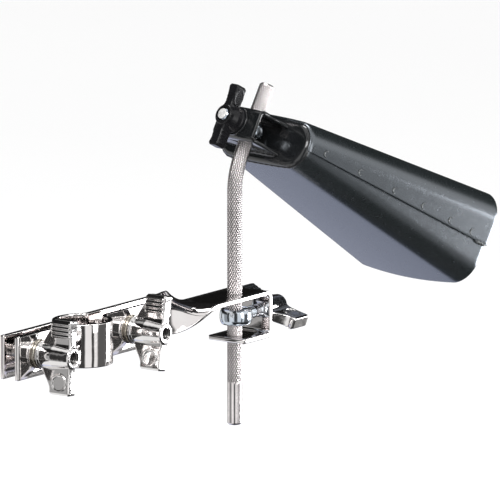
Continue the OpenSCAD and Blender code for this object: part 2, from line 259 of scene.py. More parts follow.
class Nodes:
    """Small helper to wire shader nodes."""

    def __init__(self, name):
        self.mat = bpy.data.materials.new(name)
        self.mat.use_nodes = True
        self.tree = self.mat.node_tree
        self.tree.nodes.clear()
        self.out = self.tree.nodes.new("ShaderNodeOutputMaterial")
        self.bsdf = self.tree.nodes.new("ShaderNodeBsdfPrincipled")
        self.tree.links.new(self.bsdf.outputs[0], self.out.inputs[0])
        self.coord = self.tree.nodes.new("ShaderNodeTexCoord").outputs["Object"]

    def put(self, socket, value):
        if hasattr(value, "is_linked"):
            self.tree.links.new(value, socket)
        else:
            socket.default_value = value

    def noise(self, scale, detail=4.0, rough=0.5):
        n = self.tree.nodes.new("ShaderNodeTexNoise")
        n.inputs["Scale"].default_value = scale
        n.inputs["Detail"].default_value = detail
        n.inputs["Roughness"].default_value = rough
        self.tree.links.new(self.coord, n.inputs["Vector"])
        return n.outputs["Fac"]

    def ramp(self, fac, low, high, out_low, out_high):
        r = self.tree.nodes.new("ShaderNodeMapRange")
        self.put(r.inputs["Value"], fac)
        for key, v in (("From Min", low), ("From Max", high), ("To Min", out_low), ("To Max", out_high)):
            r.inputs[key].default_value = v
        return r.outputs[0]

    def mix(self, fac, a, b):
        m = self.tree.nodes.new("ShaderNodeMix")
        m.data_type = "RGBA"
        self.put(m.inputs[0], fac)
        for socket, value in ((m.inputs[6], a), (m.inputs[7], b)):
            self.put(socket, (*value, 1.0) if isinstance(value, tuple) and len(value) == 3 else value)
        return m.outputs[2]

    def math(self, op, a, b):
        m = self.tree.nodes.new("ShaderNodeMath")
        m.operation = op
        self.put(m.inputs[0], a)
        self.put(m.inputs[1], b)
        return m.outputs[0]

    def bump(self, height, strength, distance):
        b = self.tree.nodes.new("ShaderNodeBump")
        b.inputs["Strength"].default_value = strength
        b.inputs["Distance"].default_value = distance
        self.put(b.inputs["Height"], height)
        self.tree.links.new(b.outputs[0], self.bsdf.inputs["Normal"])

    def edge(self, radius):
        """1 on sharp edges, 0 on open faces."""
        bevel = self.tree.nodes.new("ShaderNodeBevel")
        bevel.samples = 4
        bevel.inputs["Radius"].default_value = radius
        geo = self.tree.nodes.new("ShaderNodeNewGeometry")
        dot = self.tree.nodes.new("ShaderNodeVectorMath")
        dot.operation = "DOT_PRODUCT"
        self.tree.links.new(bevel.outputs[0], dot.inputs[0])
        self.tree.links.new(geo.outputs["Normal"], dot.inputs[1])
        return self.ramp(dot.outputs["Value"], 0.97, 0.8, 0.0, 1.0)

    def rim(self, color, strength):
        """Painted reflection of the dark room: the plating's colour and specular tint darken where it turns
        away from the eye.
        """
        layer = self.tree.nodes.new("ShaderNodeLayerWeight")
        layer.inputs["Blend"].default_value = 0.5
        fade = self.ramp(layer.outputs["Facing"], 0.72, 0.93, 0.0, strength)
        tinted = self.mix(fade, color, (0.03, 0.035, 0.035))
        self.put(self.bsdf.inputs["Specular Tint"], self.mix(fade, (1.0, 1.0, 1.0), (0.1, 0.11, 0.11)))
        return tinted

    def cavity(self, distance):
        """0 in crevices, 1 in the open; chrome() paints shade into crevices with it."""
        ao = self.tree.nodes.new("ShaderNodeAmbientOcclusion")
        ao.samples = 6
        ao.inputs["Distance"].default_value = distance
        return ao.outputs["AO"]

    def set(self, **values):
        names = {"color": "Base Color", "metal": "Metallic", "rough": "Roughness", "coat": "Coat Weight",
                 "coat_rough": "Coat Roughness", "ior": "IOR"}
        for key, value in values.items():
            if isinstance(value, tuple) and len(value) == 3:
                value = (*value, 1.0)
            self.put(self.bsdf.inputs[names[key]], value)
        return self.mat


def chrome(name, color, tint, rough=0.05, wobble=0.0002, wobble_scale=90.0, dark=0.25):
    n = Nodes(name)
    cloud = n.noise(60.0, 3.0)
    # Painted shade: the plating's colour darkens towards (0.12, 0.1, 0.09) in crevices, by up to dark.
    crevice_shade = n.ramp(n.cavity(0.004), 0.35, 0.9, dark, 0.0)
    base = n.mix(n.ramp(cloud, 0.4, 0.65, 0.0, 1.0), color, tint)
    base = n.rim(n.mix(crevice_shade, base, (0.12, 0.1, 0.09)), 0.85)
    smear = n.noise(420.0, 5.0, 0.6)
    n.bump(n.math("ADD", n.noise(wobble_scale, 2.0), n.math("MULTIPLY", smear, 0.05)), 0.35, wobble)
    return n.set(color=base, metal=1.0, rough=n.ramp(smear, 0.35, 0.75, rough, rough + 0.07))


def knurled(name):
    """Plated steel with painted shade down the knurl's valleys, so its points stand bright."""
    n = Nodes(name)
    groove = n.tree.nodes.new("ShaderNodeAttribute")
    groove.attribute_name = "valley"
    # Painted shade: the colour darkens towards (0.1, 0.09, 0.09) with the groove depth.
    valley = n.ramp(groove.outputs["Fac"], 0.45, 0.85, 0.0, 0.9)
    base = n.mix(n.ramp(n.noise(60.0, 3.0), 0.4, 0.65, 0.0, 1.0), (0.97, 0.92, 0.92), (0.86, 0.81, 0.81))
    base = n.mix(valley, base, (0.1, 0.09, 0.09))
    base = n.rim(base, 0.75)
    fine = n.noise(900.0, 4.0)
    n.bump(fine, 0.3, 0.00004)
    return n.set(color=base, metal=1.0, rough=n.ramp(fine, 0.3, 0.7, 0.14, 0.26))


def make_materials():
    m = {}
    m["strip"] = chrome("chrome_strip", (0.95, 0.92, 0.91), (0.92, 0.88, 0.87), 0.035, 0.0004, 60.0)
    m["bolt"] = chrome("chrome_bolt", (0.85, 0.85, 0.85), (0.78, 0.77, 0.76), 0.09, 0.0001, 150.0)
    m["cast"] = chrome("chrome_casting", (0.94, 0.92, 0.91), (0.9, 0.88, 0.87), 0.05, 0.0003, 160.0, 0.45)
    m["rod"] = knurled("knurled_rod")
    m["eye"] = chrome("zinc_eye", (0.66, 0.74, 0.84), (0.74, 0.79, 0.84), 0.1, 0.00018, 120.0, 0.4)
    m["washer"] = chrome("zinc_washer", (0.62, 0.57, 0.48), (0.7, 0.67, 0.6), 0.16, 0.0001, 200.0, 0.55)

    n = Nodes("black_shell")
    cloud = n.noise(22.0, 4.0)
    grain = n.noise(1100.0, 2.0, 0.5)
    wear = n.math("MULTIPLY", n.edge(0.0006), n.ramp(n.noise(240.0, 5.0), 0.45, 0.7, 0.0, 0.7))
    base = n.mix(n.ramp(cloud, 0.35, 0.7, 0.0, 1.0), (0.006, 0.009, 0.009), (0.009, 0.012, 0.013))
    base = n.mix(wear, base, (0.16, 0.165, 0.17))
    n.bump(n.math("ADD", grain, n.math("MULTIPLY", n.noise(18.0, 1.0), 12.0)), 0.012, 0.00005)
    n.bsdf.inputs["Specular Tint"].default_value = (0.86, 0.92, 1.0, 1)
    m["shell"] = n.set(color=base, rough=n.ramp(n.noise(260.0, 4.0), 0.3, 0.7, 0.25, 0.275), ior=2.6)

    n = Nodes("gloss_black")
    grain = n.noise(500.0, 3.0)
    wear = n.math("MULTIPLY", n.edge(0.0005), n.ramp(n.noise(300.0, 5.0), 0.5, 0.7, 0.0, 0.5))
    base = n.mix(n.ramp(n.noise(40.0), 0.35, 0.7, 0.0, 1.0), (0.008, 0.009, 0.01), (0.014, 0.015, 0.016))
    base = n.mix(wear, base, (0.2, 0.2, 0.2))
    n.bump(n.math("ADD", n.noise(90.0, 2.0), n.math("MULTIPLY", grain, 0.2)), 0.3, 0.0002)
    m["gloss"] = n.set(color=base, rough=n.ramp(grain, 0.3, 0.7, 0.12, 0.2), coat=0.6, coat_rough=0.06)

    n = Nodes("bare_weld")
    lumps = n.noise(700.0, 4.0, 0.65)
    base = n.mix(n.ramp(lumps, 0.4, 0.62, 0.0, 1.0), (0.02, 0.022, 0.023), (0.17, 0.18, 0.18))
    n.bump(lumps, 0.8, 0.0004)
    m["weld"] = n.set(color=base, metal=0.4, rough=n.ramp(lumps, 0.3, 0.7, 0.3, 0.5))

    n = Nodes("black_plastic")
    grain = n.noise(1100.0, 3.0)
    wear = n.math("MULTIPLY", n.edge(0.0005), n.ramp(n.noise(350.0, 5.0), 0.45, 0.7, 0.0, 0.6))
    base = n.mix(n.ramp(n.noise(70.0), 0.35, 0.7, 0.0, 1.0), (0.006, 0.006, 0.007), (0.012, 0.012, 0.014))
    base = n.mix(wear, base, (0.1, 0.1, 0.105))
    n.bump(n.math("ADD", grain, n.noise(160.0, 2.0)), 0.3, 0.00012)
    m["plastic"] = n.set(color=base, rough=n.ramp(grain, 0.3, 0.7, 0.2, 0.32), ior=1.38)

    n = Nodes("cut_steel")
    lumps = n.noise(1300.0, 4.0, 0.7)
    base = n.mix(n.ramp(lumps, 0.35, 0.65, 0.0, 1.0), (0.42, 0.42, 0.42), (0.95, 0.94, 0.92))
    n.bump(lumps, 0.6, 0.0002)
    m["cut"] = n.set(color=base, metal=0.25, rough=n.ramp(lumps, 0.3, 0.7, 0.35, 0.6))

    n = Nodes("thread_shadow")
    lumps = n.noise(900.0, 3.0)
    base = n.mix(lumps, (0.1, 0.1, 0.1), (0.3, 0.29, 0.28))
    n.bump(lumps, 0.3, 0.0001)
    m["thread"] = n.set(color=base, metal=1.0, rough=n.ramp(lumps, 0.3, 0.7, 0.25, 0.4))
    return m


MAT = make_materials()

# ---- clamp strips ----


def band_corner(gap_mid, sign):
    """Centre of the bend between a flat at gap_mid and the band round the tube, and its angle."""
    cy = gap_mid + sign * (STRAP_T / 2 + CORNER_R)
    reach = TUBE_R + STRAP_T + CORNER_R
    cx = math.sqrt(reach * reach - cy * cy)
    return cx, cy, math.degrees(math.atan2(abs(cy), cx))


def path_line(p, q, step=3.0):
    n = max(2, int(abs(q[0] - p[0]) / step))
    return [(p[0] + (q[0] - p[0]) * i / n, p[1] + (q[1] - p[1]) * i / n) for i in range(n + 1)]


def build_strap():
    cx, cy, a = band_corner(BACK_MID, 1)
    mid = CORNER_R + STRAP_T / 2
    band = TUBE_R + STRAP_T / 2
    path = path_line((LEFT_X, BACK_MID), (-cx, BACK_MID))[:-1]
    path += arc(-cx, cy, mid, 270, 360 - a, 10)[:-1]
    path += arc(0, 0, band, 180 - a, a, 30)[:-1]
    path += arc(cx, cy, mid, 180 + a, 270, 10)[:-1]
    path += path_line((cx, BACK_MID), (TWIST[0], BACK_MID))
    stations = flat_stations(path)
    steps = 44
    for i in range(1, steps + 1):
        u = i / steps
        t = math.radians(90 * u * u * (3 - 2 * u))
        x = TWIST[0] + u * (TWIST[1] - TWIST[0])
        stations.append((np.array([x, BACK_MID, 0.0]), np.array([0, math.cos(t), -math.sin(t)]),
                         np.array([0, math.sin(t), math.cos(t)])))
    wide = np.array([0.0, 1.0, 0.0])
    r = ARM_BEND_R - STRAP_T / 2
    top = STRAP_T / 2 - ARM_BEND_R
    low = STRAP_T / 2 - BRACKET_H + ARM_BEND_R
    cxz = ARM_END - ARM_BEND_R
    for x in np.linspace(TWIST[1], cxz, 12)[1:]:
        stations.append((np.array([x, BACK_MID, 0.0]), np.array([0, 0, -1.0]), wide))
    for i in range(1, 11):
        b = math.radians(90 - 9 * i)
        d = np.array([math.cos(b), 0, math.sin(b)])
        stations.append((np.array([cxz, BACK_MID, top]) + r * d, -d, wide))
    for z in np.linspace(top, low, 6)[1:]:
        stations.append((np.array([cxz + r, BACK_MID, z]), np.array([-1.0, 0, 0]), wide))
    for i in range(1, 11):
        b = math.radians(-9 * i)
        d = np.array([math.cos(b), 0, math.sin(b)])
        stations.append((np.array([cxz, BACK_MID, low]) + r * d, -d, wide))
    for x in np.linspace(cxz, LIP_X, 8)[1:]:
        stations.append((np.array([x, BACK_MID, STRAP_T - BRACKET_H]), np.array([0, 0, 1.0]), wide))
    verts, faces = sweep_strip(stations, STRAP_H / 2, STRAP_T / 2)
    strap = add_mesh("clamp_strap", verts, faces, "clamp_arm", MAT["strip"], ["back_strap"])
    drill(strap, MAT["strip"], [
        ((ROD_X, BACK_MID, 0), (0, 0, 1), 12, ROD_R + 0.09, 48),
        ((ROD_X, BACK_MID, STRAP_T - BRACKET_H), (0, 0, 1), 12, ROD_R + 0.09, 48),
        ((ARM_END - STRAP_T / 2, BACK_MID, ARM_MID_Z), (1, 0, 0), 8, 4.15, 32),
        ((-BOLT_X, BACK_MID, 0), (0, 1, 0), 8, 8 / math.sqrt(2), 4),
        ((BOLT_X, BACK_MID, 0), (0, 1, 0), 8, 8 / math.sqrt(2), 4)])


def build_jaw():
    cx, cy, a = band_corner(-STRAP_T / 2, -1)
    mid = CORNER_R + STRAP_T / 2
    band = TUBE_R + STRAP_T / 2
    y = -STRAP_T / 2
    path = path_line((LEFT_X, y), (-cx, y))[:-1]
    path += arc(-cx, cy, mid, 90, a, 12)[:-1]
    path += arc(0, 0, band, 180 + a, 360 - a, 40)[:-1]
    path += arc(cx, cy, mid, 180 - a, 90, 12)[:-1]
    path += path_line((cx, y), (JAW_RIGHT, y))
    verts, faces = sweep_strip(flat_stations(path), STRAP_H / 2, STRAP_T / 2)
    jaw = add_mesh("clamp_jaw", verts, faces, "clamp_jaw", MAT["strip"], ["front_jaw"])
    drill(jaw, MAT["strip"], [((s * BOLT_X, y, 0), (0, 1, 0), 8, 4.15, 32) for s in (-1, 1)])


# ---- threads, bolts, eyes ----


def thread_rings(length, around=28, start=0.0):
    """Rings of a threaded shank along +Z, its last millimetre tapered."""
    rows = int(length / (THREAD_PITCH / 8)) + 1
    rings = []
    for i in range(rows + 1):
        z = length * i / rows
        end = min(1.0, length - z)
        ring = []
        for j in range(around):
            a = 2 * math.pi * j / around
            phase = (z / THREAD_PITCH - j / around) % 1.0
            depth = 0.72 * abs(2 * phase - 1)
            r = THREAD_R - depth - (1 - end) * 0.7
            ring.append((r * math.cos(a), r * math.sin(a), start + z))
        rings.append(ring)
    return np.array(rings)


def place(points, origin, x_dir, y_dir, z_dir):
    basis = np.array([x_dir, y_dir, z_dir], float)
    return np.asarray(points, float) @ basis + np.array(origin, float)


def join_parts(parts):
    verts, faces = [], []
    for v, f in parts:
        base = len(verts)
        verts += [tuple(p) for p in v]
        faces += [tuple(base + i for i in face) for face in f]
    return verts, faces


def revolve(profile, around=48):
    """Closed skin round +Z from an open profile of (radius, z); both ends on or closed to the axis."""
    rings = [[(r * math.cos(2 * math.pi * j / around), r * math.sin(2 * math.pi * j / around), z)
              for j in range(around)] for r, z in profile]
    return tube_mesh(rings)


def ring_of(profile, around=64):
    """Closed ring round +Z from a closed profile of (radius, z)."""
    count = len(profile)
    verts, faces = [], []
    for i in range(around):
        a = 2 * math.pi * i / around
        verts += [(r * math.cos(a), r * math.sin(a), z) for r, z in profile]
    for i in range(around):
        n = (i + 1) % around
        for k in range(count):
            m = (k + 1) % count
            faces.append((i * count + k, n * count + k, n * count + m, i * count + m))
    return verts, faces


def carriage_bolt(name, node, x):
    face = BACK_MID + STRAP_T / 2
    head = [(0.05, 4.0)]
    for i in range(1, 13):
        a = math.radians(7.5 * i)
        head.append((8.4 * math.sin(a), 0.5 + 3.5 * math.cos(a)))
    head += [(8.4, 0.2), (8.2, 0.0), (3.0, 0.0)]
    v, f = revolve(head)
    parts = [(place(v, (x, face, 0), (1, 0, 0), (0, 0, -1), (0, 1, 0)), f)]
    square = rounded_rect(3.97, 3.97, 0.5, 3, 2)
    rings = [[(p[0], p[1], z) for p in square] for z in (-0.4, STRAP_T)]
    v, f = tube_mesh(rings)
    parts.append((place(v, (x, face, 0), (1, 0, 0), (0, 0, 1), (0, -1, 0)), f))
    v, f = tube_mesh(thread_rings(31.0 - STRAP_T + 0.5))
    parts.append((place(v, (x, face - STRAP_T + 0.5, 0), (1, 0, 0), (0, 0, 1), (0, -1, 0)), f))
    verts, faces = join_parts(parts)
    add_mesh(name, verts, faces, "clamp_arm", MAT["bolt"], [node], 50)


def eye_profile(inner, wall, height):
    """Rounded section of a forged eye."""
    pts = []
    for i in range(24):
        a = 2 * math.pi * i / 24
        c, s = math.cos(a), math.sin(a)
        flat = 0.7 if c < 0 else 1.0
        pts.append((inner + wall / 2 + wall / 2 * math.copysign(abs(c) ** flat, c),
                    height / 2 * math.copysign(abs(s) ** 0.9, s)))
    return pts


def eye_bolt(name, node, body, inner, wall, height, length, origin, x_dir, y_dir, z_dir):
    parts = []
    v, f = ring_of(eye_profile(inner, wall, height))
    parts.append((place(v, origin, x_dir, y_dir, z_dir), f))
    neck = [(3.2, inner + 0.8), (4.4, inner + wall * 0.7), (4.1, inner + wall + 0.4),
            (3.8, inner + wall + 1.2)]
    v, f = revolve(neck, 32)
    parts.append((place(v, origin, y_dir, z_dir, x_dir), f))
    v, f = tube_mesh(thread_rings(length - inner - wall - 0.9, start=inner + wall + 0.9))
    parts.append((place(v, origin, y_dir, z_dir, x_dir), f))
    verts, faces = join_parts(parts)
    add_mesh(name, verts, faces, body, MAT["eye"], [node], 50)


# ---- rod ----


def rod_path():
    """Stations along the rod: (position, in-plane normal, out-of-plane normal, length from the lower end)."""
    yaw = np.array([AXIS[0], AXIS[1], 0.0])
    yaw /= np.linalg.norm(yaw)
    out = np.cross(np.array([0, 0, 1.0]), yaw)
    foot = np.array([ROD_X, BACK_MID, 0.0])
    z0, z1 = ROD_LOW, CORNER[2] - TANGENT
    stations = []
    step = 0.25
    n = int((z1 - z0) / step)
    for i in range(n):
        z = z0 + (z1 - z0) * i / n
        stations.append((foot + np.array([0, 0, z]), -yaw, z - z0))
    centre = foot + np.array([0, 0, z1]) + yaw * ROD_BEND_R
    n = int(ROD_BEND_R * BEND_A / step)
    for i in range(n):
        b = BEND_A * i / n
        d = -yaw * math.cos(b) + np.array([0, 0, 1.0]) * math.sin(b)
        stations.append((centre + ROD_BEND_R * d, d, (z1 - z0) + ROD_BEND_R * b))
    base = CORNER + TANGENT * UP
    d = -yaw * math.cos(BEND_A) + np.array([0, 0, 1.0]) * math.sin(BEND_A)
    leg = UPPER_LEG - TANGENT
    n = int(leg / step)
    for i in range(n + 1):
        s = leg * i / n
        stations.append((base + s * UP, d, (z1 - z0) + ROD_BEND_R * BEND_A + s))
    return stations, out


def build_rod():
    stations, out = rod_path()
    total = stations[-1][2]
    starts, around = 18, 216
    lead = 2 * math.pi * ROD_R / math.tan(math.radians(30))
    plain = 26.5
    theta = np.arange(around) / around
    rings, valley = [], []
    for pos, nvec, s in stations:
        fade = np.clip((s - plain) / 1.6, 0, 1) * np.clip((total - s - 1.0) / 1.0, 0, 1)
        one = np.abs(np.sin(np.pi * (starts * theta + starts * s / lead)))
        two = np.abs(np.sin(np.pi * (starts * theta - starts * s / lead)))
        groove = (1 - np.minimum(one, two)) * fade
        depth = 0.36 * groove
        valley += list(groove)
        chamfer = max(0.0, 1.2 - s, 1.2 - (total - s))
        r = ROD_R - 0.02 - depth - chamfer
        rings.append(pos + np.outer(r * np.cos(2 * np.pi * theta), nvec)
                     + np.outer(r * np.sin(2 * np.pi * theta), out))
    verts, faces = tube_mesh(rings)
    obj = add_mesh("knurled_rod", verts, faces, "rod", MAT["rod"], ["rod"], 80)
    # Groove depth per point, which the knurled_rod material turns into painted shade.
    groove = obj.data.attributes.new("valley", "FLOAT", "POINT")
    groove.data.foreach_set("value", np.array(valley, np.float32))


# ---- bell ----


def outline_at(u, inset):
    w = CROWN_W + (MOUTH_W - CROWN_W) * u - 2 * inset
    h = CROWN_H + (MOUTH_H - CROWN_H) * u - 2 * inset
    r = CROWN_H / 2 + (MOUTH_R - CROWN_H / 2) * u - inset - 0.01
    return w, h, r


def bowed(y, z, u, w, h):
    """Lifts a point of the outline by the bow of the wide faces, full at mid width, none at the sides."""
    bow = CROWN_BOW + (MOUTH_BOW - CROWN_BOW) * u
    return y, z * (1 + 2 * bow / h * (1 - (2 * y / w) ** 2))


def half_width(z, w, h, r):
    k = abs(z) - (h / 2 - r)
    if k <= 0:
        return w / 2
    return w / 2 - r + math.sqrt(max(0.0, r * r - k * k))


def half_outline(u, inset, cut, top):
    """Points from one seam over the top (or under the bottom) to the other, in (side, up)."""
    w, h, r = outline_at(u, inset)
    sign = 1 if top else -1
    flat = h / 2 - r
    pts = []
    for i in range(8):
        z = cut + (flat * sign - cut) * i / 8
        pts.append((-half_width(z, w, h, r), z))
    for i in range(18):
        a = math.radians(90 * i / 18)
        pts.append((-(w / 2 - r) - r * math.cos(a), sign * (flat + r * math.sin(a))))
    for i in range(20):
        f = i / 20
        pts.append(((w / 2 - r) * (2 * f - 1), sign * h / 2))
    for i in range(18):
        a = math.radians(90 * i / 18)
        pts.append(((w / 2 - r) + r * math.sin(a), sign * (flat + r * math.cos(a))))
    for i in range(9):
        z = flat * sign + (cut - flat * sign) * i / 8
        pts.append((half_width(z, w, h, r), z))
    return [bowed(y, z, u, w, h) for y, z in pts]


def shell_surface(start, end, inset, cut, top, rows=70, ease=None):
    verts = []
    for i in range(rows + 1):
        x = start + (end - start) * i / rows
        extra = ease(x) if ease else 0.0
        pts = half_outline(x / BELL_L, inset + extra, cut, top)
        verts += [(CROWN_X + x, p[0], p[1] - BELL_DROP) for p in pts]
    return from_bell(verts), grid_faces(rows + 1, len(pts), wrap=False)


def thicken(obj, material, thickness, bevel=0.25):
    solid = obj.modifiers.new("sheet", "SOLIDIFY")
    solid.thickness = thickness * MM
    solid.offset = -1.0
    solid.use_even_offset = True
    round_off = obj.modifiers.new("edge", "BEVEL")
    round_off.width = bevel * MM
    round_off.segments = 2
    round_off.limit_method = "ANGLE"
    round_off.angle_limit = math.radians(60)
    bpy.context.view_layer.update()
    bake_modifiers(obj, material, 60)


def outward(obj):
    """Turns an open skin's faces away from the bell's axis."""
    mesh = obj.data
    mid = (from_bell([[CROWN_X + BELL_L / 2, 0, -BELL_DROP]])[0]) * MM
    axis = Vector(AXIS)
    total = 0.0
    for p in mesh.polygons:
        d = p.center - Vector(mid)
        d -= axis * d.dot(axis)
        total += p.normal.dot(d)
    if total < 0:
        mesh.flip_normals()


def build_shells():
    cut = SEAM_Z + BELL_DROP

    def crown_roll(x):
        return 1.1 * (1 - math.sqrt(max(0.0, 1 - (1 - min(1.0, (x - 1.4) / 2.2)) ** 2))) if x < 3.6 else 0.0

    verts, faces = shell_surface(1.4, BELL_L, 0.0, cut, True, 90, crown_roll)
    upper = add_mesh("upper_shell_sheet", verts, faces, "bell", MAT["shell"], ["upper_shell"])
    outward(upper)
    thicken(upper, MAT["shell"], SHEET)
    verts, faces = shell_surface(CROWN_EDGE, BELL_L - 0.8, SHEET + 0.03, cut + LAP - 2.0, False, 80)
    lower = add_mesh("lower_shell_sheet", verts, faces, "bell", MAT["shell"], ["lower_shell"])
    outward(lower)
    thicken(lower, MAT["shell"], SHEET)


def full_outline(u, inset):
    w, h, r = outline_at(u, inset)
    pts = []
    for q, (sx, sy) in enumerate([(1, 1), (-1, 1), (-1, -1), (1, -1)]):
        for i in range(20):
            a = math.radians(90 * q + 90 * i / 20)
            pts.append((sx * (w / 2 - r) + r * math.cos(a), sy * (h / 2 - r) + r * math.sin(a)))
        if q % 2 == 0:
            for i in range(16):
                f = i / 16
                pts.append((sx * (w / 2 - r) * (1 - 2 * f), sy * (h / 2 - r) + sy * r))
    return [bowed(y, z, u, w, h) for y, z in pts]


def build_crown():
    rings = []
    for inner in (0, 1):
        edge = CROWN_EDGE - inner * SHEET
        seq = []
        for k in range(11):
            a = math.radians(9 * k)
            x = inner * SHEET + edge * (1 - math.cos(a))
            seq.append((x, SHEET + 0.03 + inner * SHEET + edge * (1 - math.sin(a))))
        rings.append(seq)

    def ring_points(x, inset):
        return [(CROWN_X + x, p[0], p[1] - BELL_DROP) for p in full_outline(x / BELL_L, inset)]

    loops = []
    x0, inset0 = rings[0][0]
    flat = ring_points(x0, inset0)
    for f in (0.04, 0.2, 0.4, 0.6, 0.75, 0.87, 0.95):
        loops.append([(p[0], p[1] * f, (p[2] + BELL_DROP) * f - BELL_DROP) for p in flat])
    loops += [ring_points(x, inset) for x, inset in rings[0]]
    loops += [ring_points(x, inset) for x, inset in reversed(rings[1])]
    x1, inset1 = rings[1][0]
    back = ring_points(x1, inset1)
    for f in (0.8, 0.5, 0.04):
        loops.append([(p[0], p[1] * f, (p[2] + BELL_DROP) * f - BELL_DROP) for p in back])
    verts, faces = tube_mesh(loops)
    add_mesh("crown_pan", from_bell(verts), faces, "bell", MAT["gloss"], ["crown_cap"], 50)


def bead(path, radius, lump, seed):
    """Lumpy weld bead along a path of points in the bell's frame."""
    rng = np.random.default_rng(seed)
    path = np.array(path, float)
    rings = []
    count = len(path)
    phase = rng.random() * 6
    for i, p in enumerate(path):
        d = path[min(i + 1, count - 1)] - path[max(i - 1, 0)]
        d /= np.linalg.norm(d)
        side = np.cross(d, [0.3, 0.2, 0.93])
        side /= np.linalg.norm(side)
        up = np.cross(side, d)
        end = min(1.0, (i + 0.35) / 3, (count - 0.65 - i) / 3)
        r = radius * (1 + lump * math.sin(i * 1.25 + phase) + lump * 0.5 * rng.standard_normal()) * end ** 0.5
        rings.append([p + r * (math.cos(t) * side + math.sin(t) * up) for t in np.arange(12) * math.pi / 6])
    return tube_mesh(rings)


def build_welds():
    cut = SEAM_Z + BELL_DROP
    path = []
    pts = full_outline(CROWN_EDGE / BELL_L, SHEET + 0.05)
    under = [p for p in pts if p[1] < cut - 1.0]
    under.sort(key=lambda p: math.atan2(p[0], -p[1]))
    for p in under:
        path.append((CROWN_X + CROWN_EDGE, p[0], p[1] - BELL_DROP))
    path = resample(path, 1.0)
    verts, faces = bead(path, 0.62, 0.16, 3)
    add_mesh("crown_weld_bead", from_bell(verts), faces, "bell", MAT["gloss"], ["crown_weld"],
             80)
    parts = []
    for s in (-1, 1):
        line = [(CROWN_X - 0.6, y, s * (BRACKET_Z - 0.1))
                for y in np.linspace(-BRACKET_W + 1.5, BRACKET_W - 1.5, 34)]
        parts.append(bead(line, 1.35, 0.1, 5 + s))
    verts, faces = join_parts(parts)
    add_mesh("bracket_weld_beads", from_bell(verts), faces, "bell", MAT["gloss"], ["bracket_welds"],
             80)
    parts = []
    slope = (MOUTH_W - CROWN_W) / 2 / BELL_L
    for s in (-1, 1):
        line = [(CROWN_X + BELL_L - 1.0 - d, s * (MOUTH_W / 2 - SHEET + 0.35 - slope * d), SEAM_Z - 0.1)
                for d in np.linspace(0, 9, 18)]
        parts.append(bead(line, 1.15, 0.16, 11 + s))
    verts, faces = join_parts(parts)
    add_mesh("seam_weld_beads", from_bell(verts), faces, "bell", MAT["weld"], ["seam_beads"], 80)
    build_spots()


def build_spots():
    """Shallow crescent marks of the spot welds along both side seams."""
    parts = []
    lean = math.atan((MOUTH_W - CROWN_W) / 2 / BELL_L)
    for s in (-1, 1):
        for u in WELD_MARKS:
            w, h, r = outline_at(u, 0.0)
            z = SEAM_Z + 3.6
            y = half_width(z + BELL_DROP, w, h, r)
            centre = np.array([CROWN_X + BELL_L * u, s * y, z])
            k = max(0.0, abs(z + BELL_DROP) - (h / 2 - r))
            tip = math.asin(min(1.0, k / r)) if k > 0 else 0.0
            out = np.array([-math.sin(lean), s * math.cos(lean) * math.cos(tip), math.sin(tip)])
            out /= np.linalg.norm(out)
            along = np.cross([0, 0, 1.0], out)
            along /= np.linalg.norm(along)
            up = np.cross(out, along)
            rings = []
            for i in range(27):
                t = math.radians(-120 + 240 * i / 26)
                fat = 0.14 + 0.42 * math.cos(math.radians(-90 + 180 * i / 26)) ** 0.8 if 0 < i < 26 else 0.08
                mid = centre + 1.9 * (math.cos(t) * along * s + math.sin(t) * up) - 0.12 * out
                radial = math.cos(t) * along * s + math.sin(t) * up
                rings.append([mid + fat * (math.cos(q) * radial + math.sin(q) * out)
                              for q in np.arange(10) * math.pi / 5])
            parts.append(tube_mesh(rings))
    verts, faces = join_parts(parts)
    add_mesh("spot_weld_marks", from_bell(verts), faces, "bell", MAT["weld"], ["spot_welds"],
             80)


def resample(path, step):
    path = np.array(path, float)
    dist = np.r_[0, np.cumsum(np.linalg.norm(np.diff(path, axis=0), axis=1))]
    n = max(4, int(dist[-1] / step))
    at = np.linspace(0, dist[-1], n)
    return np.stack([np.interp(at, dist, path[:, k]) for k in range(3)], 1)


# ---- cast and moulded wing nuts ----


def wing_half(y):
    """Half the thickness of a wing at a distance from the nut's axis."""
    return 4.6 - 0.18 * y if y < 9 else 3 + (y - 9) * 0.09


def ease(u):
    u = min(1.0, max(0.0, u))
    return u * u * (3 - 2 * u)


def wing_block(side, height, tip, depth):
    """One wing: a gusset down to the foot at the hub, narrower outwards, its end face dished a little."""
    rings = []
    for y in list(np.linspace(0, tip - 1.4, 22)) + [tip - 0.5, tip - 0.06]:
        end = ease((y - tip + 1.5) / 1.5) * 0.9
        half = wing_half(y) - end
        low = 2.0 + (height - depth - 1.0) * ease((y - 6.5) / (tip - 9)) + end
        high = height - 0.06 - 0.9 * math.sin(math.pi * min(1.0, y / tip)) - end * 0.6
        ring = [(p[0], side * y, p[1] + (low + high) / 2)
                for p in rounded_rect(half, (high - low) / 2, 1.0, 3, 3)]
        rings.append(ring)
    return tube_mesh(rings)


def grip_ribs(side, height, tip, depth):
    parts = []
    for y in np.arange(tip - 10.4, tip - 2, 2.6):
        mid = height - depth / 2
        profile = [(0.05, -depth / 2 + 1.2), (0.8, -depth / 2 + 1.7), (0.8, depth / 2 - 1.9),
                   (0.05, depth / 2 - 1.4)]
        v, f = revolve(profile, 14)
        parts.append((np.array(v) + (side * (wing_half(y) - 0.15), -side * y, mid), f))
    return parts


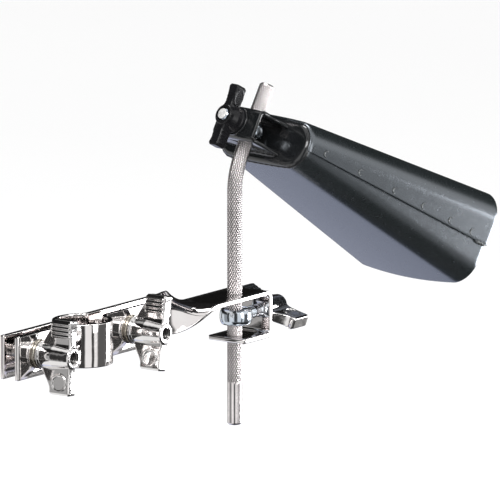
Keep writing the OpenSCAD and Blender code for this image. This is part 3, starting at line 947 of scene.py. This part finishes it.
def oval_ring(side, height, tip, depth):
    """Raised oval outline on the smooth side of a wing."""
    rings = []
    centre = np.array([side * (wing_half(tip - 7.5) - 0.05), side * (tip - 7.5), height - depth / 2])
    for i in range(40):
        t = 2 * math.pi * i / 40
        out = np.array([0, math.cos(t), math.sin(t)])
        mid = centre + np.array([0, 5.0 * math.cos(t), min(depth / 2 - 1.6, 5.0) * math.sin(t)])
        rings.append([mid + 0.62 * (math.cos(q) * out + math.sin(q) * np.array([1.0, 0, 0]))
                      for q in np.arange(10) * math.pi / 5])
    rings = np.array(rings)
    faces = grid_faces(40, 10)
    faces += [(390 + k, 390 + (k + 1) % 10, (k + 1) % 10, k) for k in range(10)]
    return rings.reshape(-1, 3), faces


def wing_nut(name, node, body, look, size, seat, voxel):
    """Builds the casting from simple closed forms, melts them together, then bores it."""
    height, span, depth, foot_r, hub_r, bore_r = size
    tip = span / 2
    foot = [(0.05, 0.05), (foot_r - 0.5, 0.05), (foot_r, 0.5), (foot_r, 1.7), (foot_r - 0.7, 2.5),
            (0.05, 2.9)]
    hub = [(0.05, 0.1), (hub_r, 0.1), (hub_r, height * 0.45), (6.9, height - 3), (6.6, height - 0.7),
           (6.0, height - 0.06), (0.05, height - 0.06)]
    parts = [revolve(foot), revolve(hub)]
    for side in (-1, 1):
        parts.append(wing_block(side, height, tip, depth))
        parts += grip_ribs(side, height, tip, depth)
        parts.append(oval_ring(side, height, tip, depth))
    verts, faces = join_parts(parts)
    origin, x_dir, y_dir, z_dir = seat
    obj = add_mesh(name, place(verts, origin, x_dir, y_dir, z_dir), faces, body, MAT[look], [node])
    remesh = obj.modifiers.new("skin", "REMESH")
    remesh.mode = "VOXEL"
    remesh.voxel_size = voxel * MM
    relax = obj.modifiers.new("relax", "SMOOTH")
    relax.factor = 0.5
    relax.iterations = 5
    bpy.context.view_layer.update()
    bake_modifiers(obj, MAT[look], 70)
    axis = np.array(z_dir, float)
    middle = np.array(origin, float) + axis * height / 2
    mouth = np.array(origin, float) + axis * height
    drill(obj, MAT[look], [(middle, axis, height + 4, bore_r, 40), (mouth, axis, 1.6, bore_r + 0.75, 40)], 50)


# ---- CAD nodes that stay, softened by modifiers ----


def round_edges(node, material, width):
    """Pressed or turned look: small bevels on the CAD solid's edges."""
    obj = frame["nodes"][node]
    weld = obj.modifiers.new("weld", "WELD")
    weld.merge_threshold = 0.00001
    bevel = obj.modifiers.new("bevel", "BEVEL")
    bevel.width = width * MM
    bevel.segments = 3
    bevel.limit_method = "ANGLE"
    bevel.angle_limit = math.radians(40)
    bevel.harden_normals = True
    obj.data.materials.clear()
    obj.data.materials.append(material)
    obj.data.shade_smooth()


def nut_threads(name, body, origin, x_dir, y_dir, z_dir, length):
    """Threaded wall seen in a wing nut's open end."""
    around = 28
    rows = int(length / (THREAD_PITCH / 8))
    inner, outer = [], []
    for i in range(rows + 1):
        z = length * i / rows
        row_in, row_out = [], []
        for j in range(around):
            a = 2 * math.pi * j / around
            phase = (z / THREAD_PITCH - j / around) % 1.0
            r = 3.28 + 0.5 * abs(2 * phase - 1)
            row_in.append((r * math.cos(a), r * math.sin(a), z))
            row_out.append((THREAD_R * math.cos(a), THREAD_R * math.sin(a), z))
        inner.append(row_in)
        outer.append(row_out)
    loops = np.array(inner + outer[::-1])
    count = len(loops)
    faces = grid_faces(count, around)
    faces += [((count - 1) * around + j, (count - 1) * around + (j + 1) % around, (j + 1) % around, j)
              for j in range(around)]
    verts = place(loops.reshape(-1, 3), origin, x_dir, y_dir, z_dir)
    add_mesh(name, verts, faces, body, MAT["thread"], (), 60)


def build_fittings():
    carriage_bolt("clamp_bolt_left", "left_bolt", -BOLT_X)
    carriage_bolt("clamp_bolt_right", "right_bolt", BOLT_X)
    lo, hi = box_mm("rod_eye_bolt")
    rod_eye = 0.5 * (lo[1] + hi[1])
    centre = (lo[0] + (hi[1] - lo[1]) / 2, rod_eye, ARM_MID_Z)
    eye_bolt("rod_eye_forging", "rod_eye_bolt", "rod_eye", 6.35, 4.0, 10.0, hi[0] - centre[0], centre,
             (1, 0, 0), (0, 1, 0), (0, 0, 1))
    inner, wall = 5.6, 3.4
    shift = inner - ROD_R - 0.03
    centre = from_bell([[-shift, 0, 0]])[0]
    reach = BELL_NUT_H + WASHER_T - FRONT_X + 0.6
    eye_bolt("bell_eye_forging", "bell_eye_bolt", "bell_eye", inner, wall, 9.0, reach - shift, centre,
             -AXIS, -SIDE, UP)
    end = [(3.35, 0.0), (3.3, 0.25), (3.0, 0.45), (1.6, 0.55), (0.05, 0.58)]
    verts, faces = revolve(end, 32)
    verts = place(verts, from_bell([[-reach + 0.1, 0, 0]])[0], SIDE, UP, -AXIS)
    add_mesh("bell_bolt_cut_end", verts, faces, "bell_eye", MAT["cut"], (), 50)
    size = (NUT_H, 47.0, 16.5, 8.8, 7.8, 3.97)
    for side, tilt, name in ((-1, 4, "left"), (1, 9, "right")):
        t = math.radians(tilt)
        seat = ((side * BOLT_X, -STRAP_T - WASHER_T, 0), (math.cos(t), 0, -math.sin(t)),
                (math.sin(t), 0, math.cos(t)), (0, -1, 0))
        wing_nut(name + "_wing_casting", name + "_wing_nut", name + "_wing", "cast",
                 size, seat, 0.26)
    t = math.radians(20)
    seat = ((ARM_END + WASHER_T, BACK_MID, ARM_MID_Z), (0, math.sin(t), -math.cos(t)),
            (0, math.cos(t), math.sin(t)), (1, 0, 0))
    wing_nut("rod_wing_casting", "rod_wing_nut", "rod_wing", "cast", size, seat, 0.26)
    seat = (from_bell([[FRONT_X - WASHER_T, 0, 0]])[0], SIDE, -UP, -AXIS)
    wing_nut("bell_wing_moulding", "bell_wing_nut", "bell_wing", "plastic",
             (BELL_NUT_H, 41.0, 10.0, 8.6, 8.2, 4.2), seat, 0.22)
    for node in ("left_washer", "right_washer", "rod_washer"):
        round_edges(node, MAT["washer"], 0.35)
    round_edges("bell_washer", MAT["gloss"], 0.35)
    round_edges("bell_bracket", MAT["gloss"], 0.5)
    round_edges("bell_nut_insert", MAT["thread"], 0.15)
    for name, body, node in (("left_nut_thread", "left_wing", "left_wing_nut"),
                             ("right_nut_thread", "right_wing", "right_wing_nut")):
        lo, hi = box_mm(node)
        x = (lo[0] + hi[0]) / 2
        nut_threads(name, body, (x, lo[1] + 0.6, 0), (1, 0, 0), (0, 0, -1), (0, 1, 0), 5.2)
    lo, hi = box_mm("rod_wing_nut")
    nut_threads("rod_nut_thread", "rod_wing", (hi[0] - 0.6, BACK_MID, ARM_MID_Z), (0, 1, 0), (0, 0, -1),
                (-1, 0, 0), 5.2)


build_strap()
build_jaw()
build_rod()
build_shells()
build_crown()
build_welds()
build_fittings()

# ---- studio ----

# Dark parts of the studio that only reflections see:
# azimuth from and to, height from and to, softness (degrees), brightness
OPEN_LIGHT = 0.86
FLAGS = (
    (-84, -29, -37, 11, 4, 0.1),
    (-25, 150, 4, 55, 5, 0.012),
    (14, 62, -21, 8, 4, 0.03),
    (-176, 5, -95, -30, 5, 0.03),
    (-181, 181, -95, -62, 6, 0.06),
    (-158, -134, -30, 70, 3, 0.05),
    (124, 150, -30, 6, 4, 0.35),
    (150, 166, -30, 80, 3, 0.03),
    (-108, -98, -30, 95, 2, 0.04),
    (-30, -22, -30, 95, 2, 0.03),
    (88, 100, -30, 5, 2, 0.04),
)


def area(name, position, target, size, power, color=(1, 1, 1)):
    lamp = bpy.data.lights.new(name, "AREA")
    lamp.shape = "RECTANGLE"
    lamp.size, lamp.size_y = size
    lamp.energy = power
    lamp.color = color
    obj = bpy.data.objects.new(name, lamp)
    bpy.context.scene.collection.objects.link(obj)
    obj.location = position
    obj.rotation_euler = (Vector(target) - Vector(position)).to_track_quat("-Z", "Y").to_euler()


def build_world():
    """White studio. Reflections also see its dark backdrop, dark ground and a few black flags."""
    world = bpy.data.worlds.new("studio")
    bpy.context.scene.world = world
    world.use_nodes = True
    tree = world.node_tree
    tree.nodes.clear()
    link = tree.links.new

    def op(kind, a, b=None):
        n = tree.nodes.new("ShaderNodeMath")
        n.operation = kind
        for socket, value in ((n.inputs[0], a), (n.inputs[1], b)):
            if value is None:
                continue
            if hasattr(value, "is_linked"):
                link(value, socket)
            else:
                socket.default_value = value
        return n.outputs[0]

    def step(value, at, soft, rising):
        n = tree.nodes.new("ShaderNodeMapRange")
        n.interpolation_type = "SMOOTHSTEP"
        link(value, n.inputs["Value"])
        n.inputs["From Min"].default_value = at - soft
        n.inputs["From Max"].default_value = at + soft
        n.inputs["To Min"].default_value = 0.0 if rising else 1.0
        n.inputs["To Max"].default_value = 1.0 if rising else 0.0
        return n.outputs[0]

    coord = tree.nodes.new("ShaderNodeTexCoord")
    split = tree.nodes.new("ShaderNodeSeparateXYZ")
    link(coord.outputs["Generated"], split.inputs[0])
    azimuth = op("MULTIPLY", op("ARCTAN2", split.outputs["Y"], split.outputs["X"]), 180 / math.pi)
    height = op("MULTIPLY", op("ARCSINE", split.outputs["Z"]), 180 / math.pi)
    light = OPEN_LIGHT
    for a0, a1, h0, h1, soft, value in FLAGS:
        w = op("MULTIPLY", op("MULTIPLY", step(azimuth, a0, soft, True), step(azimuth, a1, soft, False)),
               op("MULTIPLY", step(height, h0, soft, True), step(height, h1, soft, False)))
        keep = op("SUBTRACT", 1.0, w)
        light = op("ADD", op("MULTIPLY", light, keep), op("MULTIPLY", w, value))
    speck = tree.nodes.new("ShaderNodeTexNoise")
    link(coord.outputs["Generated"], speck.inputs["Vector"])
    speck.inputs["Scale"].default_value = 11.0
    ahead = op("MULTIPLY", step(azimuth, -48, 3, True), step(azimuth, -22, 3, False))
    ahead = op("MULTIPLY", ahead, op("MULTIPLY", step(height, -24, 4, True), step(height, 4, 4, False)))
    specks = op("MULTIPLY", step(speck.outputs[0], 0.52, 0.05, True), ahead)
    light = op("ADD", light, op("MULTIPLY", specks, 0.5))
    cool = op("MULTIPLY", step(azimuth, 8, 8, True), step(azimuth, 92, 8, False))
    cool = op("MULTIPLY", cool, step(height, -18, 5, False))
    tint = tree.nodes.new("ShaderNodeMix")
    tint.data_type = "RGBA"
    tint.blend_type = "MULTIPLY"
    link(cool, tint.inputs[0])
    link(light, tint.inputs[6])
    tint.inputs[7].default_value = (0.74, 0.78, 0.97, 1)
    out = tree.nodes.new("ShaderNodeOutputWorld")
    back = tree.nodes.new("ShaderNodeBackground")
    path = tree.nodes.new("ShaderNodeLightPath")
    pick = tree.nodes.new("ShaderNodeMix")
    pick.data_type = "RGBA"
    link(path.outputs["Is Glossy Ray"], pick.inputs[0])
    pick.inputs[6].default_value = (1.0, 1.0, 1.0, 1)
    link(tint.outputs[2], pick.inputs[7])
    link(pick.outputs[2], back.inputs[0])
    back.inputs[1].default_value = 1.0
    link(back.outputs[0], out.inputs[0])


def build_studio():
    low = CAD_BOX[0][2]
    floor_mesh = bpy.data.meshes.new("floor")
    z, half = low - 0.16, 6.0
    corners = [(-half, -half, z), (half, -half, z), (half, half, z), (-half, half, z)]
    floor_mesh.from_pydata(corners, [], [(0, 1, 2, 3)])
    floor = bpy.data.objects.new("floor", floor_mesh)
    bpy.context.scene.collection.objects.link(floor)
    n = Nodes("floor_paper")
    base = n.mix(n.noise(3.0, 2.0), (0.95, 0.95, 0.95), (0.97, 0.97, 0.97))
    floor.data.materials.append(n.set(color=base, rough=0.9))

    floor.visible_glossy = False
    build_world()

    centre = (Vector(CAD_BOX[0]) + Vector(CAD_BOX[1])) / 2
    mouth = Vector(from_bell([[CROWN_X + BELL_L, 0, 0]])[0]) * MM
    area("key", centre + Vector((-0.9, -0.5, 1.1)), centre, (0.8, 0.5), 9)
    area("fill", centre + Vector((-0.2, -1.4, 0.3)), centre, (0.5, 1.2), 4)
    area("mouth_side", mouth + Vector((0.37, -0.38, -0.08)), mouth, (0.3, 0.3), 3.0, (0.97, 0.98, 1.0))
    crown = Vector(from_bell([[0, 0, 0]])[0]) * MM
    area("rim", crown + Vector((0.42, 0.22, 0.82)), crown, (0.3, 0.12), 1.6)


def build_camera():
    """Long lens from the left and a little above; sizes in millimetres.

    12 m keeps other-angle views, which stand further off with the same lens, inside their far clip.
    """
    azimuth, elevation = math.radians(54.0), math.radians(11.1)
    distance, frame_width = 12000.0, 308.8
    aim_right, aim_up = 103.5, 56.1
    right = Vector((math.cos(azimuth), -math.sin(azimuth), 0))
    lean = math.sin(elevation)
    up = Vector((lean * math.sin(azimuth), lean * math.cos(azimuth), math.cos(elevation)))
    ahead = up.cross(right)
    cam = bpy.data.cameras.new("camera")
    cam.sensor_width = 36
    cam.lens = cam.sensor_width * distance / frame_width
    obj = bpy.data.objects.new("camera", cam)
    bpy.context.scene.collection.objects.link(obj)
    obj.location = (right * aim_right + up * aim_up - ahead * distance) * MM
    obj.rotation_euler = Matrix((right, up, -ahead)).transposed().to_euler()
    bpy.context.scene.camera = obj


build_studio()
build_camera()
bpy.context.scene.view_settings.view_transform = "Standard"
